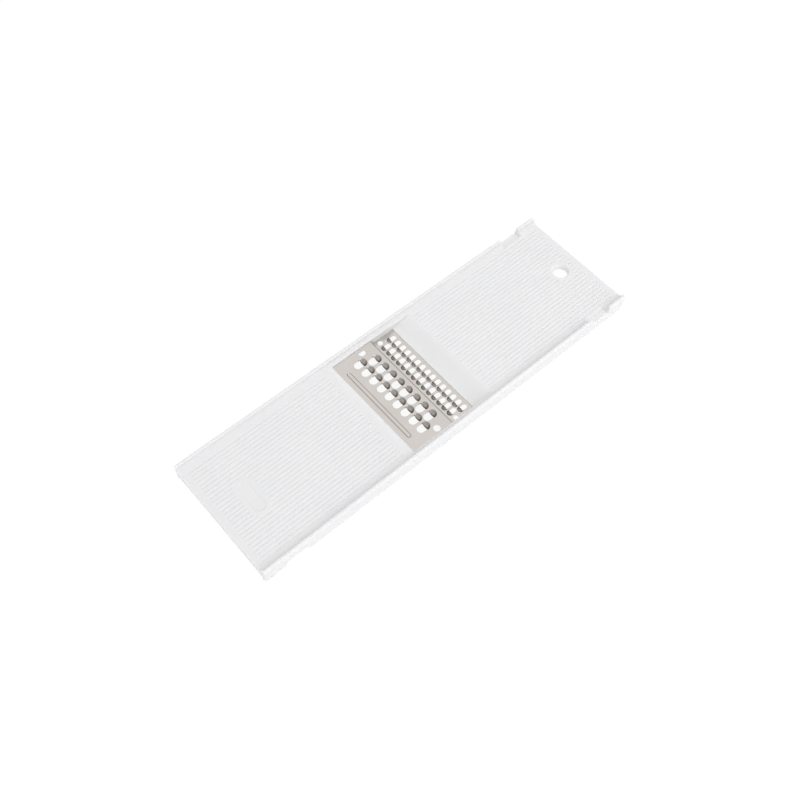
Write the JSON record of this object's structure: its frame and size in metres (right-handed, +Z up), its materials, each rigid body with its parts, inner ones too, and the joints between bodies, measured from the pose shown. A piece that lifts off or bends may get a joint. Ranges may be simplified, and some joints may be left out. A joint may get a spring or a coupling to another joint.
{
  "type": "grating board",
  "caption": "Flat two-sided kitchen grating board: ribbed plastic board with side rails, hanging hole and bowl notches, and a stepped steel plate with coarse and fine teeth.",
  "frame": {"origin": "middle of the board's bounding box: halfway along, halfway across and halfway through its thickness", "axes": "+X along the board to the end with the hanging hole, +Y across to the other rail, +Z up out of the side on which the fine teeth cut"},
  "size_m": [0.3, 0.089, 0.013],
  "materials": {
    "board_plastic": "white moulded plastic with a fine satin surface",
    "plate_steel": "pressed stainless steel sheet, lightly brushed"
  },
  "bodies": {
    "root": {"board": "board_plastic", "grater_plate": "plate_steel"}
  },
  "joints": []
}
